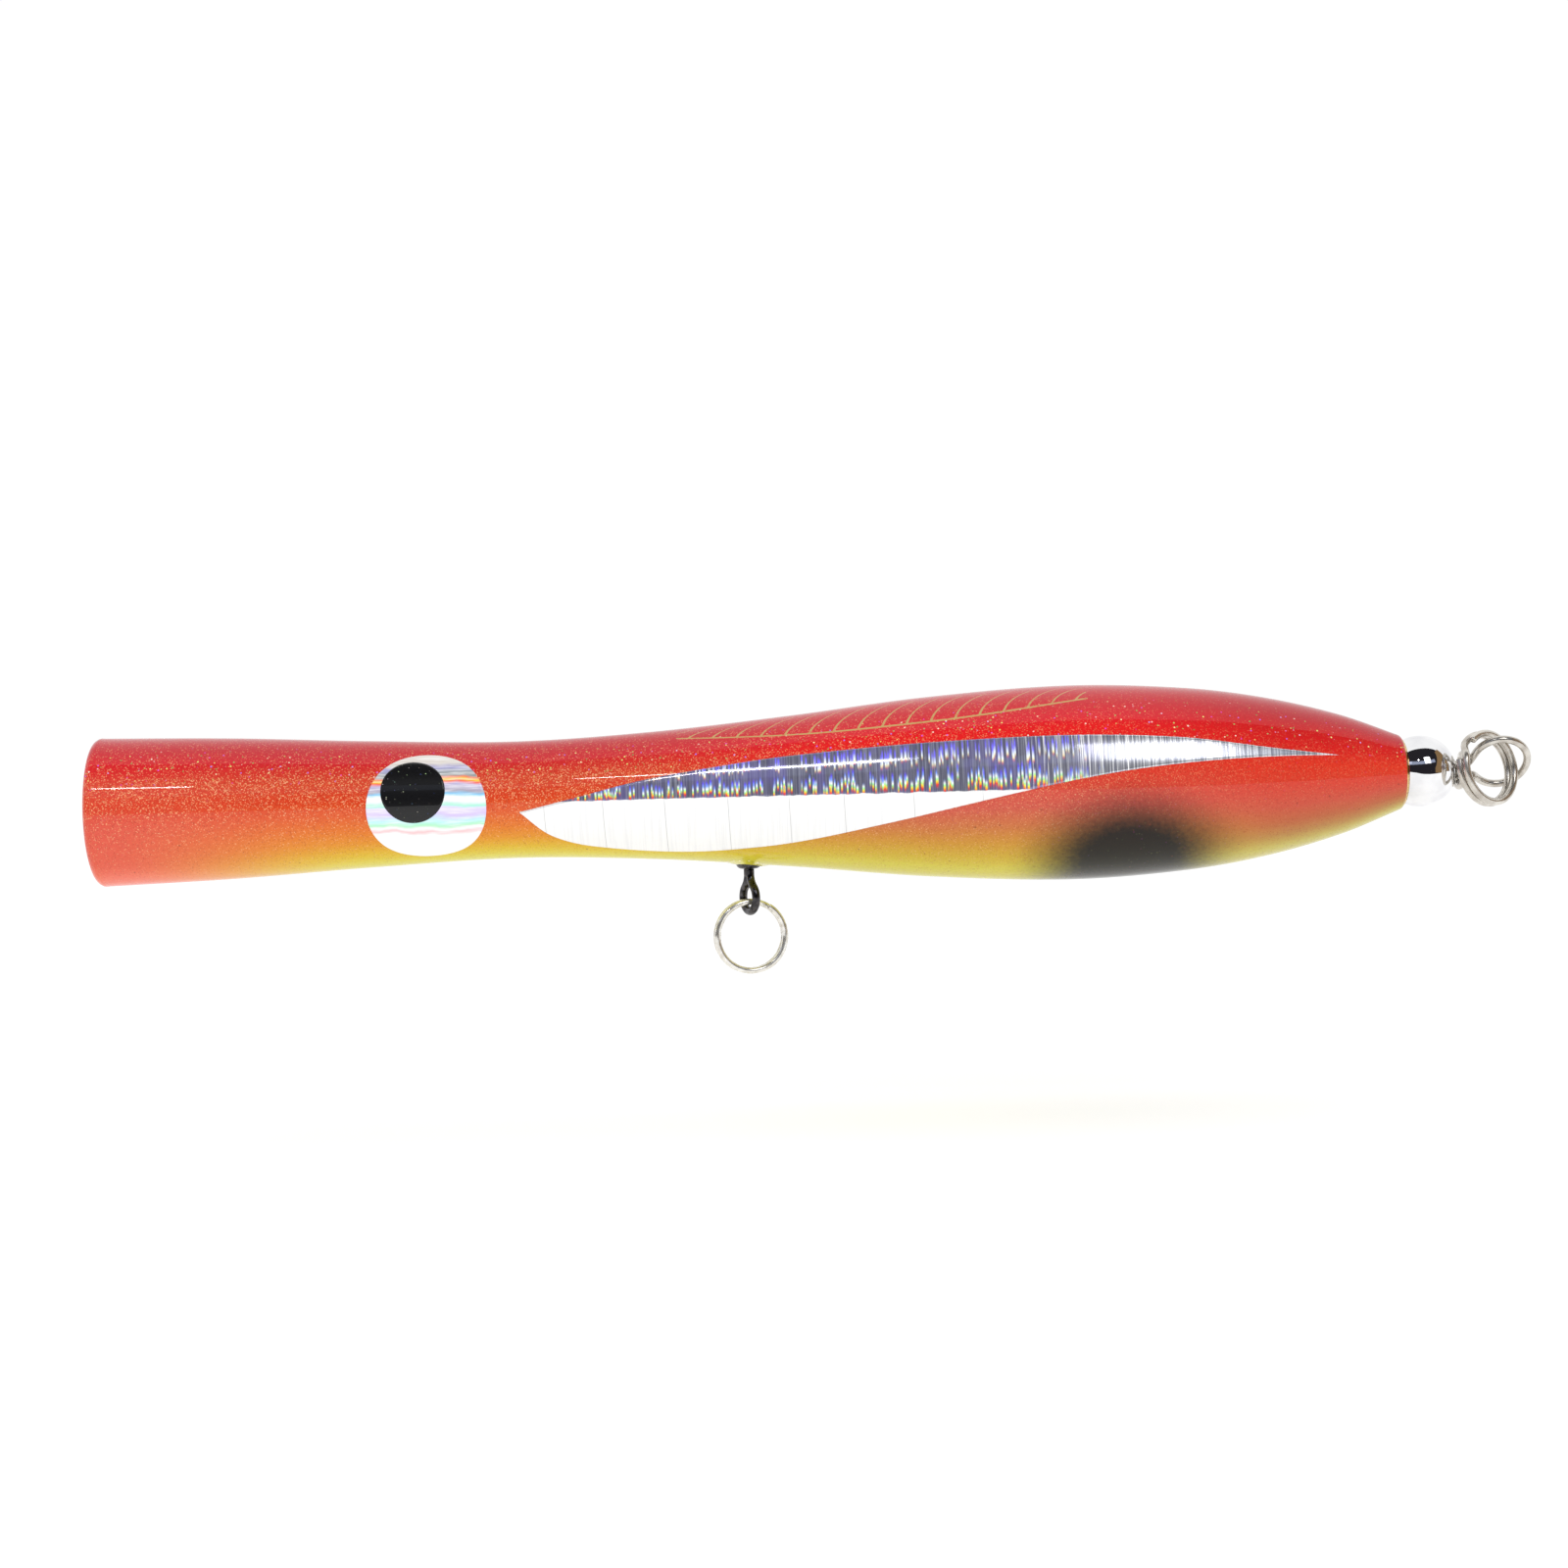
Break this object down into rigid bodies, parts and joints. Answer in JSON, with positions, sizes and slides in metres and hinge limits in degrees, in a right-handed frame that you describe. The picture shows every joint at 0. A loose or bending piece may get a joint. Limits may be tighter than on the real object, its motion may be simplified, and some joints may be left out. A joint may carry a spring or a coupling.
{
  "type": "topwater popper lure",
  "caption": "Long cup-mouthed topwater popper: a painted wooden body on a doubled through-wire, with a line-tie eye, a belly swivel, a tail ball bearing and split rings for hooks.",
  "frame": {"origin": "middle of the line-tie eye, on the body's axis, inside the mouth cup", "axes": "+X from the mouth to the tail along the turned axis, +Z towards the back, -Z towards the belly, -Y towards the left flank"},
  "size_m": [0.2524, 0.0344, 0.049],
  "materials": {
    "painted_wood": "red over orange over yellow paint with fine glitter under a thick gloss clear coat",
    "brass": "polished",
    "stainless_wire": "bright drawn wire",
    "polished_ball": "mirror polish",
    "dark_nickel": "black nickel",
    "epoxy": "glossy epoxy with glitter",
    "ballast_metal": "cast",
    "plug_wood": "painted over with the belly colour",
    "foil": "silver holographic film under clear coat",
    "eye_film": "white holographic film under clear coat",
    "pupil_film": "gloss black with fine glitter",
    "polished_ring": "polished stainless steel"
  },
  "bodies": {
    "through_wire": {"through_wire": "stainless_wire"},
    "lure_body": {"wooden_body": "painted_wood", "front_grommet": "brass", "tail_seat": "brass", "swivel_barrel": "dark_nickel", "swivel_upper_eye": "dark_nickel", "swivel_bedding": "epoxy", "ballast_front": "ballast_metal", "ballast_middle": "ballast_metal", "ballast_rear": "ballast_metal", "plug_front": "plug_wood", "plug_middle": "plug_wood", "plug_rear": "plug_wood", "foil_left": "foil", "foil_right": "foil", "eye_disc_left": "eye_film", "eye_disc_right": "eye_film", "pupil_left": "pupil_film", "pupil_right": "pupil_film"},
    "tail_ball": {"tail_ball": "polished_ball"},
    "belly_hook_eye": {"swivel_hook_eye": "dark_nickel"},
    "belly_ring": {"belly_split_ring": "polished_ring"},
    "tail_ring": {"tail_split_ring": "polished_ring"}
  },
  "joints": [
    {"name": "body_spin", "type": "hinge", "parent": "through_wire", "child": "lure_body", "pos_m": [0, 0, 0], "axis": [1, 0, 0], "continuous": true},
    {"name": "ball_spin", "type": "hinge", "parent": "through_wire", "child": "tail_ball", "pos_m": [0.228, 0, 0], "axis": [1, 0, 0], "continuous": true},
    {"name": "swivel_spin", "type": "hinge", "parent": "lure_body", "child": "belly_hook_eye", "pos_m": [0.10934, 0, -0.0148], "axis": [0, 0, 1], "continuous": true},
    {"name": "belly_ring_swing", "type": "hinge", "parent": "belly_hook_eye", "child": "belly_ring", "pos_m": [0.10934, 0, -0.02092], "axis": [0.225, -0.9744, 0], "range_deg": [-55, 55]},
    {"name": "tail_ring_swing", "type": "hinge", "parent": "through_wire", "child": "tail_ring", "pos_m": [0.2383, -0.0031, 0.004], "axis": [0.8279, -0.5609, 0], "range_deg": [-115, 0]}
  ]
}
